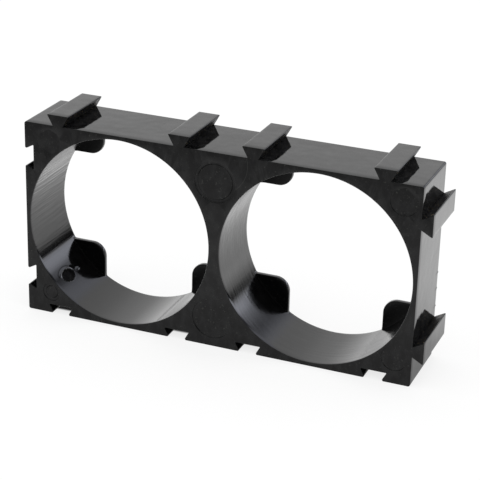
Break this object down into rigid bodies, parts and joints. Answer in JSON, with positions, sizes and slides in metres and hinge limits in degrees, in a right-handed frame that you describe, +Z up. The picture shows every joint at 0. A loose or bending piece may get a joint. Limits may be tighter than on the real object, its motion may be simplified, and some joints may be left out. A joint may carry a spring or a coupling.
{
  "type": "battery cell holder bracket",
  "caption": "Moulded bracket that holds two round cells side by side and joins to more brackets by dovetails.",
  "frame": {"origin": "centre of the bottom face, midway between the ends and between the front and back faces, tails left out", "axes": "+X to the right along the row of two bores, towards the end with tails; +Y from the front face, where the cells go in, to the back face with the ears; +Z up, towards the side with four tails"},
  "size_m": [0.0701, 0.0124, 0.0358],
  "materials": {
    "black_plastic": "glossy moulded"
  },
  "bodies": {
    "root": {"cell_bracket": "black_plastic"}
  },
  "joints": []
}
